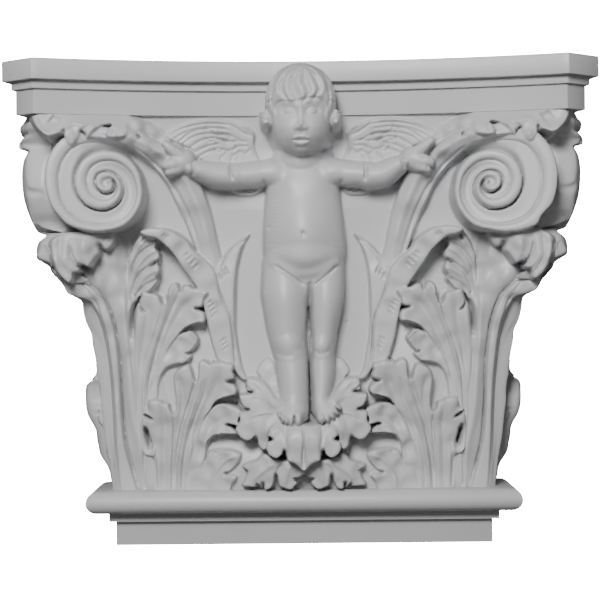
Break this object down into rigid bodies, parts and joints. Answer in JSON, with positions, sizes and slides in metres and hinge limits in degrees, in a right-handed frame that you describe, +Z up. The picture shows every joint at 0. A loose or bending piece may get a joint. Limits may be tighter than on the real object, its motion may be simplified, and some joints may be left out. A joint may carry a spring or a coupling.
{
  "type": "pilaster capital",
  "caption": "Moulded composite-order pilaster capital: winged child standing between acanthus leaves, corner volutes and a hollow abacus, flat back for a wall.",
  "frame": {"origin": "middle of the underside that sits on the pilaster shaft; the wall plane is 30 mm behind it", "axes": "+Z up, front towards -Y, flat back towards +Y, +X to the viewer's right"},
  "size_m": [0.387, 0.115, 0.318],
  "materials": {
    "primer": "factory-primed pale grey, matt, slightly grainy"
  },
  "bodies": {
    "root": {"pilaster_capital": "primer"}
  },
  "joints": []
}
